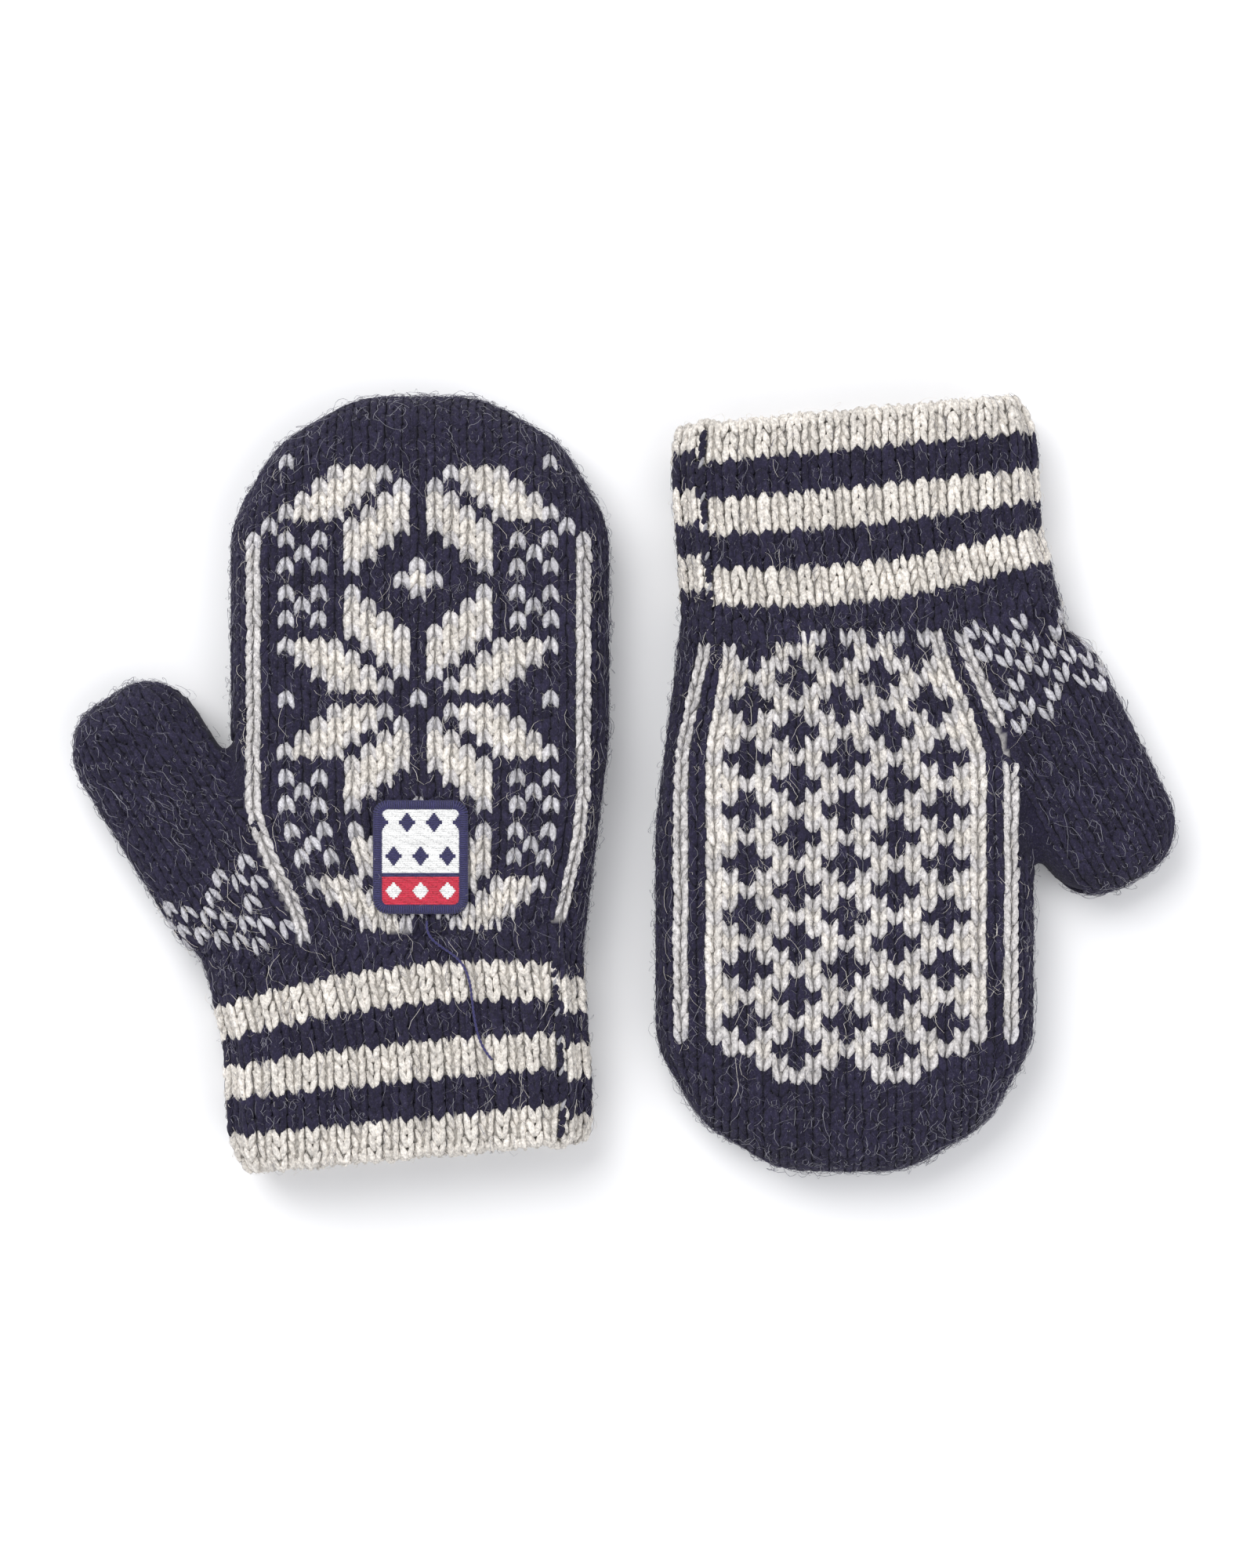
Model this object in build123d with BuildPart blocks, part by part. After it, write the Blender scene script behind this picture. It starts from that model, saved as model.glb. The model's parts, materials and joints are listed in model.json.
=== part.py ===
from build123d import *
import os
from math import cos, radians, sin

# A pair of felted wool mittens lying flat on a table, in millimetres.
# The right-hand mitten has the back of the hand up and its fingertips along +Y.
# The left-hand mitten has its palm up and its fingertips along -Y.
# Each mitten is drawn in its own frame: x across the hand with the thumb on the
# negative side, y from the cuff to the fingertips, z up from the table.

# ---- driving dimensions -----------------------------------------------------

PAIR_SPACING = 97.4  # between the two mittens' centre lines
PAIR_SHIFT = 2.03  # right-hand thumb leans out further, so the pair's middle lies off-centre
WALL = 3.5  # thickness of the felted knitting
HAND_HEIGHT = 23.0  # of a hand and cuff lying flat
HAND_ROUND = 10.4  # rounding of the fold along both sides
THUMB_HEIGHT = 20.0
THUMB_ROUND = 8.8
THUMB_CORNER = 13.0  # roundness of the thumb's tip, seen from above
THUMB_ROOT = 12.0  # how far the thumb runs back past the mitten's origin, into the hand
THUMB_BEND = 0.55  # where the free thumb bends, as a share of its length, from the tip

BAND = 8.7  # depth of one knitted colour band of the cuff
HEM_Y = -84.8  # cuff edge, on the centre line
CUFF_TOP_Y = HEM_Y + 5 * BAND  # end of the last cuff band, where the wrist band starts
WRIST_BAND = 7.1  # navy band that flexes at the wrist
BAND_TILT = 5.3  # degrees: the cuff is longer on the thumb side
KNUCKLE_Y = 26.0  # where the fingers fold
CROWN_Y = 60.0  # where the pattern ends and the plain fingertip starts
FOLD_GAP = 0.15  # left free at a fold between two bodies

# Corners of the hand and cuff, seen from above, before they are rounded.
# The outline runs on past the hem, which is cut afterwards.
HAND_CORNERS = [
    (-42.5, -97.0),
    (-44.0, -58.0),
    (-50.5, -38.0),
    (-43.0, 8.0),
    (-43.0, 60.0),
    (-32.0, 78.0),
    (-14.0, 88.5),
    (14.0, 88.5),
    (32.0, 78.0),
    (43.0, 60.0),
    (43.0, 10.0),
    (36.5, -42.0),
    (38.5, -70.0),
    (38.5, -97.0),
]
HAND_CORNER = 22.0

SEAM_PROUD = 0.7  # sewing yarn that closes the cuff along its outer edge
SEAM_WIDTH = 2.0

BADGE_CENTRE = (0.6, -16.6)
BADGE_SIZE = (21.4, 25.6)
BADGE_CORNER = 3.2
BADGE_BORDER = 1.9
BADGE_THICK = 1.1
BORDER_THICK = 1.6

TAIL_RADIUS = 0.4  # loose end of the badge's sewing thread
TAIL_PATH = [
    (2.2, -30.2),
    (2.6, -34.6),
    (9.6, -40.2),
    (12.2, -48.4),
    (13.6, -57.0),
    (17.4, -63.2),
]


class Mitten:
    """Where one mitten lies, what its faces are called and how its thumb sits."""

    def __init__(self, name, turn, upper, lower, lean, reach, offset, width, free):
        self.name = name
        self.upper = upper
        self.lower = lower
        self.lean = radians(lean)  # of the thumb's axis, away from the fingers
        self.reach = reach  # thumb tip, measured along the thumb's axis
        self.offset = offset  # thumb's axis, across from the mitten's origin
        self.width = width  # of the thumb
        self.free = free  # length of the thumb beyond the fork
        middle = PAIR_SHIFT - turn * PAIR_SPACING / 2
        self.plane = Plane(origin=(middle, 0, 0), x_dir=(turn, 0, 0))

    def point(self, x, y, z=0.0):
        """A point of the mitten's own frame, in the frame of the pair."""
        return self.plane.from_local_coords(Vector(x, y, z))

    def direction(self, x, y):
        return self.point(x, y) - self.point(0, 0)

    def horizontal(self, z):
        """Horizontal plane at height z, with the mitten's own x direction."""
        return Plane(origin=self.point(0, 0, z), x_dir=self.direction(1, 0))

    def across(self, y, tilt=0.0):
        """Upright plane across the mitten at y, facing the fingertips."""
        turn = radians(tilt)
        return Plane(
            origin=self.point(0, y),
            x_dir=self.direction(cos(turn), sin(turn)),
            z_dir=self.direction(-sin(turn), cos(turn)),
        )

    def on_thumb(self, place):
        """A point on the thumb's axis, at table height."""
        along = Vector(-sin(self.lean), cos(self.lean)) * place
        side = Vector(cos(self.lean), sin(self.lean)) * self.offset
        return self.point(along.X + side.X, along.Y + side.Y)

    def across_thumb(self, back):
        """Upright plane across the thumb, back from its tip, facing the tip."""
        return Plane(
            origin=self.on_thumb(self.reach - back),
            x_dir=self.direction(cos(self.lean), sin(self.lean)),
            z_dir=self.direction(-sin(self.lean), cos(self.lean)),
        )

    def along_thumb(self, z):
        """Horizontal plane at height z on the middle of the thumb's length."""
        return Plane(
            origin=self.on_thumb((self.reach - THUMB_ROOT) / 2) + Vector(0, 0, z),
            x_dir=self.direction(cos(self.lean), sin(self.lean)),
        )


RIGHT = Mitten("right", 1, "back", "palm", 32.0, 54.6, -49.8, 31.4, 27.0)
LEFT = Mitten("left", -1, "palm", "back", 27.0, 49.6, -48.4, 32.6, 17.0)


# ---- whole shapes that the pieces are cut from ------------------------------


def hand_outline(mitten, z, grow=0.0):
    """The hand and cuff seen from above, at height z, grown or drawn in."""
    with BuildSketch(mitten.horizontal(z)) as outline:
        with BuildLine():
            Polyline(*HAND_CORNERS, close=True)
        make_face()
        fillet(outline.vertices(), HAND_CORNER)
        if grow:
            offset(amount=grow, mode=Mode.REPLACE)
    return outline.sketch


def thumb_outline(mitten, z, inset=0.0):
    """The thumb seen from above, at height z, running back into the hand."""
    length = mitten.reach + THUMB_ROOT
    with BuildSketch(mitten.along_thumb(z)) as outline:
        RectangleRounded(mitten.width - 2 * inset, length - 2 * inset, THUMB_CORNER - inset)
    return outline.sketch


def pillow(outline, height, rounding):
    """A flat form of the given height with its top and bottom edges rounded."""
    with BuildPart() as form:
        extrude(outline, amount=height)
        rims = form.edges().group_by(Axis.Z)
        fillet(rims[0] + rims[-1], rounding)
    return form.part


def hand_form(mitten, inset=0.0):
    outline = hand_outline(mitten, inset, grow=-inset)
    return pillow(outline, HAND_HEIGHT - 2 * inset, HAND_ROUND - inset)


def thumb_form(mitten, inset=0.0):
    outline = thumb_outline(mitten, inset, inset)
    return pillow(outline, THUMB_HEIGHT - 2 * inset, THUMB_ROUND - inset)


def hand_shell(mitten):
    """Hollow hand and cuff, open at the cuff and at the thumb."""
    with BuildPart() as shell:
        add(hand_form(mitten))
        add(hand_form(mitten, inset=WALL), mode=Mode.SUBTRACT)
        add(thumb_form(mitten, inset=WALL), mode=Mode.SUBTRACT)
        split(bisect_by=mitten.across(HEM_Y, BAND_TILT), keep=Keep.TOP)
    return shell.part


def thumb_shell(mitten):
    """Hollow thumb and gusset, outside the hand."""
    with BuildPart() as shell:
        add(thumb_form(mitten))
        add(thumb_form(mitten, inset=WALL), mode=Mode.SUBTRACT)
        add(hand_form(mitten), mode=Mode.SUBTRACT)
    return shell.part


def slice_of(shell, *cuts):
    """The part of a shell on the stated side of each cutting plane."""
    with BuildPart() as piece:
        add(shell)
        for plane, side in cuts:
            split(bisect_by=plane, keep=side)
    return piece


def save(piece, mitten, name):
    """Writes one finished piece under its mitten's name."""
    piece.part.label = f"{mitten.name}_{name}"
    export_step(piece.part, f"parts/{piece.part.label}.step")


# ---- pieces of one mitten ---------------------------------------------------


def make_cuff(mitten, shell):
    """Five ribbed bands of alternating colour, from the hem up."""
    names = ["hem", "navy_lower", "cream_lower", "navy_upper", "cream_upper"]
    for index, name in enumerate(names):
        start = mitten.across(HEM_Y + index * BAND, BAND_TILT)
        end = mitten.across(HEM_Y + (index + 1) * BAND, BAND_TILT)
        save(slice_of(shell, (start, Keep.TOP), (end, Keep.BOTTOM)), mitten, f"cuff_{name}")


def make_hand(mitten, shell):
    """The flexing wrist band, the two patterned faces and the fingers."""
    band_start = mitten.across(CUFF_TOP_Y, BAND_TILT)
    band_end = mitten.across(CUFF_TOP_Y + WRIST_BAND, BAND_TILT)
    knuckle = mitten.across(KNUCKLE_Y)
    past_knuckle = mitten.across(KNUCKLE_Y + FOLD_GAP)
    crown = mitten.across(CROWN_Y)
    fold = mitten.horizontal(HAND_HEIGHT / 2)
    save(slice_of(shell, (band_start, Keep.TOP), (band_end, Keep.BOTTOM)), mitten, "wrist_band")
    for face, side in ((mitten.upper, Keep.TOP), (mitten.lower, Keep.BOTTOM)):
        panel = slice_of(shell, (band_end, Keep.TOP), (knuckle, Keep.BOTTOM), (fold, side))
        save(panel, mitten, f"{face}_panel")
        fingers = slice_of(shell, (past_knuckle, Keep.TOP), (crown, Keep.BOTTOM), (fold, side))
        save(fingers, mitten, f"finger_{face}")
    save(slice_of(shell, (crown, Keep.TOP)), mitten, "fingertip_crown")


def make_thumb(mitten, shell):
    """The gusset that flexes, the thumb's base ring and its closed tip."""
    cuff_top = mitten.across(CUFF_TOP_Y, BAND_TILT)
    fork = mitten.across_thumb(mitten.free)
    bend = mitten.free * THUMB_BEND
    base_end = mitten.across_thumb(bend)
    tip_start = mitten.across_thumb(bend - FOLD_GAP)
    save(slice_of(shell, (cuff_top, Keep.TOP), (fork, Keep.BOTTOM)), mitten, "thumb_gusset")
    save(slice_of(shell, (fork, Keep.TOP), (base_end, Keep.BOTTOM)), mitten, "thumb_base")
    save(slice_of(shell, (tip_start, Keep.TOP)), mitten, "thumb_tip")


def make_seam(mitten):
    """The sewing yarn that closes the cuff along its outer edge."""
    bottom = (HAND_HEIGHT - SEAM_WIDTH) / 2
    with BuildPart() as seam:
        extrude(hand_outline(mitten, bottom, grow=SEAM_PROUD), amount=SEAM_WIDTH)
        extrude(hand_outline(mitten, bottom), amount=SEAM_WIDTH, mode=Mode.SUBTRACT)
        split(bisect_by=mitten.across(HEM_Y, BAND_TILT), keep=Keep.TOP)
        split(bisect_by=mitten.across(CUFF_TOP_Y, BAND_TILT), keep=Keep.BOTTOM)
        split(bisect_by=Plane(mitten.point(0, 0), z_dir=mitten.direction(1, 0)), keep=Keep.TOP)
    save(seam, mitten, "cuff_seam")


# ---- the sewn badge on the back of the right-hand mitten --------------------


def badge_outline(mitten, size, corner):
    with BuildSketch(mitten.horizontal(HAND_HEIGHT)) as outline:
        with Locations(BADGE_CENTRE):
            RectangleRounded(*size, corner)
    return outline.sketch


def make_badge(mitten):
    """The woven field and the overlocked border around it."""
    inner_size = tuple(length - 2 * BADGE_BORDER for length in BADGE_SIZE)
    inner = badge_outline(mitten, inner_size, BADGE_CORNER - BADGE_BORDER)
    with BuildPart() as field:
        extrude(inner, amount=BADGE_THICK)
    save(field, mitten, "badge_field")
    with BuildPart() as border:
        extrude(badge_outline(mitten, BADGE_SIZE, BADGE_CORNER), amount=BORDER_THICK)
        extrude(inner, amount=BORDER_THICK, mode=Mode.SUBTRACT)
        fillet(border.faces().sort_by(Axis.Z)[-1].edges(), BADGE_BORDER / 4)
    save(border, mitten, "badge_border")


def make_tail(mitten):
    """The loose end of the badge's sewing thread, lying over wrist and cuff."""
    height = HAND_HEIGHT + TAIL_RADIUS
    with BuildPart() as tail:
        with BuildLine() as path:
            Spline([mitten.point(x, y, height) for x, y in TAIL_PATH])
        with BuildSketch(Plane(origin=path.line @ 0, z_dir=path.line % 0)):
            Circle(TAIL_RADIUS)
        sweep()
    save(tail, mitten, "badge_thread")


os.makedirs("parts", exist_ok=True)
for pair_member in (RIGHT, LEFT):
    whole_hand = hand_shell(pair_member)
    make_cuff(pair_member, whole_hand)
    make_hand(pair_member, whole_hand)
    make_thumb(pair_member, thumb_shell(pair_member))
    make_seam(pair_member)
make_badge(RIGHT)
make_tail(RIGHT)
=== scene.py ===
"""A pair of felted colourwork mittens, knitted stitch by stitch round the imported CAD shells.

Each mitten is worked out in millimetres in its own frame: x across the hand with the thumb on
the negative side, y from the cuff to the fingertips, z up from the table.
"""

import json
import math

import bpy
import numpy as np
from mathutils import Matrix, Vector
from mathutils.bvhtree import BVHTree


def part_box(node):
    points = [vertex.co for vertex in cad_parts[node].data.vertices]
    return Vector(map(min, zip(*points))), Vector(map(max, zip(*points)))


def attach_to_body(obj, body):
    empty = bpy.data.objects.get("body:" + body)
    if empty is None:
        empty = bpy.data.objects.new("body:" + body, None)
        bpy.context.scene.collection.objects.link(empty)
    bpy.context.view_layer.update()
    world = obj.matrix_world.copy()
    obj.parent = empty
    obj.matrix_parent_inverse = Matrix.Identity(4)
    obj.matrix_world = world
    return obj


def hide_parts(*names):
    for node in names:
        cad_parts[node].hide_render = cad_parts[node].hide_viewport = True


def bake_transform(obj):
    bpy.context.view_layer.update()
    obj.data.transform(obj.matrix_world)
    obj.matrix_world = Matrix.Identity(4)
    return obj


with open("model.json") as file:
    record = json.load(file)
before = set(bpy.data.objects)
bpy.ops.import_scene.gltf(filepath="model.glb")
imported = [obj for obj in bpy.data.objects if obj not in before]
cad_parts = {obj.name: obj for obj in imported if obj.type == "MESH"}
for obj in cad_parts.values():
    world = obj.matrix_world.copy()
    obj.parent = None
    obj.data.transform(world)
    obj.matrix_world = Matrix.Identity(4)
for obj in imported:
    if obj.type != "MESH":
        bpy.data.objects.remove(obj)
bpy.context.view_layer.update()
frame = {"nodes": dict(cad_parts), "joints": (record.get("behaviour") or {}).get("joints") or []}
JOINTS = {joint["name"]: joint for joint in frame["joints"]}
RANDOM = np.random.default_rng(11)
MM = 1000  # in one of the frame's metres

# ---- knitting gauge, in millimetres

STITCH = 3.76  # column to column on the hand
ROW = 3.01  # row to row
WRIST_STITCH = 2.87  # the hand's columns crowd together at the wrist
WRIST_DRIFT = 3.0  # and their middle moves away from the thumb
WRIST_Y, WIDE_Y = -38.0, -3.0  # both fade out between these heights
FACE_COLUMNS = 12  # columns on each side of the hand's middle column
PATTERN_COLUMNS = 10  # of those, the evenly spaced ones
THUMB_COLUMNS = 5

CUFF_COLUMNS = 26  # per face, drawn together two by two into ridges
CUFF_ROW = 2.9
BAND_ROWS = 3  # rows in one colour band of the cuff
BANDS = 5
ARCH = 4.3  # how far the upper bands bow towards the fingers in their middle
ARCH_START, ARCH_FULL = 12.0, 43.0  # distances up the cuff
ARCH_HALF = 40.0  # half the width they bow over
RIB_FADE, RIB_END = 42.0, 50.0  # distances up the cuff
SEAM_ACROSS = 5.0  # the cuff's seam lies this far down its outer fold
SEAM_STEP = 3.2  # and the bands beyond it are this much out of line
SEAM_COLUMNS = 3  # columns of the upper face beyond it
SEAM_STITCHES = 22
SEAM_LENGTH = 44.0

# ---- the mittens' form, in millimetres

HAND_ROUND = 11.0  # rounding of the hand's folded edges
THUMB_ROUND = 9.0
FOLD_REACH = 3.5  # how far the fold may lie from the hand's even edge
FOLD_PIVOT = 45.0  # the columns keep their spacing and the fold turns from here
SIDE_TURN = 44.0  # the outermost columns turn inwards from here
SIDE_TURN_STEP = 3.0  # and each one nearer the middle turns this much later
WRIST_BAND = 7.1
HEM_SLANT = 6.0  # the hem's rise between its middle and either side, and some room
ROOT_X, ROOT_Y = -28.5, -35.0  # where the line between hand and thumb meets the wrist
THUMB_GAP = 0.6  # beyond the fork, that line lies this much towards the thumb

REACH = 60.0  # beyond any surface, seen from inside a mitten
FAR = 200.0  # beyond the whole mitten
PAST_TIPS = 150.0
JUMP = 4.0  # a longer step means that the ray struck the thumb instead of the hand
SHORTEST = 4  # places that a column needs

# how far the stretches that bend reach from their joints
KNUCKLE_FOLD = 18.0
WRIST_FOLD = 13.0  # from the wrist band's upper edge
SWING_BEFORE, SWING_PAST = 18.0, 2.0
BEND_FOLD = 6.0

# ---- colours, as linear light

NAVY = np.array((0.0225, 0.0196, 0.0425))
CREAM = np.array((0.86, 0.81, 0.745))
GREY_WHITE = np.array((0.60, 0.59, 0.625))
PALE_FIBRE = np.array((0.31, 0.305, 0.35))
HEATHER = (0.22, 0.21, 0.27, 1)
BADGE_NAVY = np.array((0.019, 0.016, 0.088))
BADGE_RED = np.array((0.56, 0.016, 0.05))
BADGE_WHITE = np.array((0.83, 0.83, 0.82))
DARK_LIMIT = 0.1

CUFF, HAND, FINGERS, GUSSET, THUMB = range(5)
REGIONS = ["cuff", "hand", "fingers", "gusset", "thumb"]
UPWARDS = (0.0, 0.0, 1.0)


def smooth(value, start, end):
    """0 before start, 1 after end, and an even S-curve between them."""
    share = np.clip((np.asarray(value, float) - start) / (end - start), 0, 1)
    return share * share * (3 - 2 * share)


def unit(vectors):
    return vectors / np.maximum(np.linalg.norm(vectors, axis=-1, keepdims=True), 1e-9)


def is_dark(colours):
    return colours.mean(-1) < DARK_LIMIT


def columns_of(rows):
    """The columns of a list of rows, each as one array."""
    return [np.array(column) for column in zip(*rows)]


# ---- where each mitten lies


class Mitten:
    """One mitten's place, thumb and folds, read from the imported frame."""

    def __init__(self, name, upper):
        self.name = name
        self.faces = {1: upper, -1: "palm" if upper == "back" else "back"}
        low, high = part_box(f"{name}_fingertip_crown")
        self.turn = 1 if high.y > -low.y else -1
        self.middle = (low.x + high.x) / 2 * MM
        self.half_height = high.z / 2 * MM
        ends = (self.turn * low.y * MM, self.turn * high.y * MM)
        self.crown_y, self.tip_y = min(ends), max(ends)

        wrist = JOINTS[f"{name}_wrist"]
        across = np.array(wrist["axis"]) * self.turn
        self.slope = across[1] / across[0]
        self.tilt = math.atan(self.slope)
        self.down = np.array((math.sin(self.tilt), -math.cos(self.tilt), 0))  # towards the hem
        self.wrist_end = self.to_local(wrist["pos_m"])[1] + WRIST_BAND / 2
        self.hem_y = self.wrist_end - WRIST_BAND - BANDS * BAND_ROWS * CUFF_ROW

        bend = JOINTS[f"{name}_thumb_bend"]
        side = np.array(bend["axis"][:2]) * self.turn
        self.side = side * np.sign(side[0])  # across the thumb, towards the hand
        self.along = np.array((-self.side[1], self.side[0]))  # towards the thumb's tip
        bend_point = self.to_local(bend["pos_m"])[:2]
        self.bend_place = bend_point @ self.along
        self.thumb_offset = bend_point @ self.side
        self.fork = self.to_local(JOINTS[f"{name}_thumb_swing"]["pos_m"])
        self.fork_place = self.fork[:2] @ self.along
        self.thumb_half_height = self.fork[2]
        self.root_slope = (ROOT_X - self.fork[0]) / (self.fork[1] - ROOT_Y)

        knuckle_y = self.to_local(JOINTS[f"{name}_knuckle"]["pos_m"])[1]
        self.fold_start = max(knuckle_y - KNUCKLE_FOLD, self.fork[1])
        self.fold_end = knuckle_y + KNUCKLE_FOLD

    def to_local(self, points):
        return (np.asarray(points) * MM - (self.middle, 0, 0)) * (self.turn, self.turn, 1)

    def to_frame(self, points):
        return (np.asarray(points) * (self.turn, self.turn, 1) + (self.middle, 0, 0)) / MM

    def up_cuff(self, points):
        """Distance up the cuff from its hem, in the direction of its tilted bands."""
        x, y = points[..., 0], points[..., 1]
        return (y - self.hem_y - x * self.slope) * math.cos(self.tilt)

    def on_band(self, up, x):
        """The y of a cuff row at x, for its distance up from the hem: the rows tilt and bow."""
        return self.hem_y + up + x * self.slope - band_arch(up) * (x / ARCH_HALF) ** 2

    def on_thumb(self, places, offsets):
        """Points of the plan at places along the thumb and offsets from its middle line."""
        places, offsets = np.broadcast_arrays(np.asarray(places, float), np.asarray(offsets, float))
        return places[..., None] * self.along + (offsets + self.thumb_offset)[..., None] * self.side

    def beside_thumb(self, points):
        """How far a point of the plan lies on the hand's side of the line between hand and thumb."""
        x, y = points[..., 0], points[..., 1]
        below = self.fork[0] + (self.fork[1] - y) * self.root_slope
        return x - np.where(y < self.fork[1], below, self.fork[0] - THUMB_GAP)

    def regions(self, points):
        """The body region that each point belongs to."""
        place = points[..., :2] @ self.along
        thumb_side = np.where(place < self.fork_place + SWING_PAST, GUSSET, THUMB)
        hand_side = np.where(points[..., 1] < self.fold_start, HAND, FINGERS)
        region = np.where(self.beside_thumb(points) < 0, thumb_side, hand_side)
        in_cuff = self.up_cuff(points) < (self.wrist_end - self.hem_y) * math.cos(self.tilt)
        return np.where(in_cuff, CUFF, region)


RIGHT = Mitten("right", "back")
LEFT = Mitten("left", "palm")


# ---- colour charts: true where a stitch is pale, by its column from the middle and its row


def star_chart(column, row):
    """The back: eight-pointed stars one above the other, between flecks and side lines."""
    a, b = abs(column), abs(row)
    side_line = a == 10 and -18 <= row <= 12 or (a, row) == (9, 13)
    if side_line or not -17 <= row <= 18:
        return side_line
    for star in (-1, 0, 1):
        off = abs(row - 18 * star)
        near, far = min(a, off), max(a, off)
        if 1 <= near <= 4 and near + 1 <= far <= near + 4:
            return True
    if (a, row) in ((0, 0), (8, 0), (8, 18), (8, -18)):
        return True
    between_stars = (a, b) in ((0, 8), (0, 9), (0, 10), (1, 9))
    flecks = 6 <= a <= 8 and 6 <= b <= 12 and a % 2 == 0 and b % 2 == 0
    return between_stars or flecks or (a, b) in ((7, 7), (7, 11))


def cross_chart(column, row):
    """The palm: small dark crosses on a pale field, between side lines."""
    a = abs(column)
    if a == 10:
        return -17 <= row <= 13
    if not -17 <= row <= 16 or a > 8 - max(0, row - 13):
        return False
    for centre in range(-6, 7, 3):
        phase = 0 if centre % 2 == 0 else 2
        step = (row - phase + 2) % 4 - 2
        if abs(column - centre) + abs(step) <= 1:
            return False
    return True


def gusset_chart(column, row):
    """Flecks on the root of the thumb."""
    return -6 <= row <= 2 and (column + row) % 2 == 0 and (column - 2 * row) % 6 != 0


CHARTS = {"back": (star_chart, 19.3), "palm": (cross_chart, 18.0)}  # with the y of row 0
GREYNESS = (0.0, 0.15, 0.55, 0.8, 0.95)  # by the number of dark neighbours


def chart_colour(chart, column, row):
    """Cream in the middle of a pale patch and greyer where dark yarn shows round it."""
    if not chart(column, row):
        return NAVY
    beside = ((1, 0), (-1, 0), (0, 1), (0, -1))
    share = GREYNESS[sum(not chart(column + i, row + j) for i, j in beside)]
    return CREAM * (1 - share) + GREY_WHITE * share


def band_arch(up):
    return ARCH * smooth(up, ARCH_START, ARCH_FULL)


def band_colour(up):
    """Colour of the cuff at a distance up from its hem."""
    band = int(up // (BAND_ROWS * CUFF_ROW))
    return CREAM if band % 2 == 0 and band < BANDS else NAVY


def stitch_pitch(y):
    return WRIST_STITCH + (STITCH - WRIST_STITCH) * smooth(y, WRIST_Y, WIDE_Y)


def middle_x(y):
    return WRIST_DRIFT * (1 - smooth(y, WRIST_Y, WIDE_Y))


# ---- the felted body under the stitches

VOXEL = 1.25
SOFTENING = 14  # rounds
FELT_DEPTH = 0.5  # the outer felt lies this much under the stitches' skin
PAINTED_SHADE_FELT = 0.55  # painted shade: the pale felt between the stitches is darkened to this share of its colour
OPEN_FELT = 0.9


def link_object(name, data):
    obj = bpy.data.objects.new(name, data)
    bpy.context.scene.collection.objects.link(obj)
    return obj


def new_object(name, vertices, faces):
    mesh = bpy.data.meshes.new(name)
    mesh.from_pydata(vertices, [], faces)
    return link_object(name, mesh)


def paint(mesh, colours):
    """Stores a colour for each vertex, which the wool's materials read."""
    shades = np.ones((len(colours), 4), np.float32)
    shades[:, :3] = colours
    mesh.attributes.new("wool_colour", "FLOAT_COLOR", "POINT").data.foreach_set("color", shades.ravel())


def own_nodes(mitten, region):
    """The CAD nodes that one region of the knitting stands for."""
    bands = ("hem", "navy_lower", "cream_lower", "navy_upper", "cream_upper")
    names = {
        CUFF: [f"cuff_{band}" for band in bands] + ["wrist_band"],
        HAND: ["back_panel", "palm_panel"],
        FINGERS: ["finger_back", "finger_palm", "fingertip_crown"],
        GUSSET: ["thumb_gusset"],
        THUMB: ["thumb_base", "thumb_tip"],
    }
    return [f"{mitten.name}_{name}" for name in names[region]]


def felt_form(mitten):
    """The CAD shells grown together into one soft hollow form: its vertices, normals and faces."""
    vertices, faces = [], []
    for region in range(len(REGIONS)):
        for node in own_nodes(mitten, region):
            mesh = frame["nodes"][node].data
            base = len(vertices)
            vertices += [tuple(p) for p in mitten.to_local([v.co for v in mesh.vertices])]
            faces += [[base + i for i in polygon.vertices] for polygon in mesh.polygons]
    obj = new_object("felt_form", vertices, faces)
    remesh = obj.modifiers.new("grow together", "REMESH")
    remesh.mode = "VOXEL"
    remesh.voxel_size = VOXEL
    soften = obj.modifiers.new("soften", "SMOOTH")
    soften.factor = 0.5
    soften.iterations = SOFTENING
    soft = obj.evaluated_get(bpy.context.evaluated_depsgraph_get()).to_mesh()
    tables = []
    for key in ("co", "normal"):
        values = np.zeros(len(soft.vertices) * 3)
        soft.vertices.foreach_get(key, values)
        tables.append(values.reshape(-1, 3))
    soft_faces = [tuple(polygon.vertices) for polygon in soft.polygons]
    bpy.data.objects.remove(obj)
    return *tables, soft_faces


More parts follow.
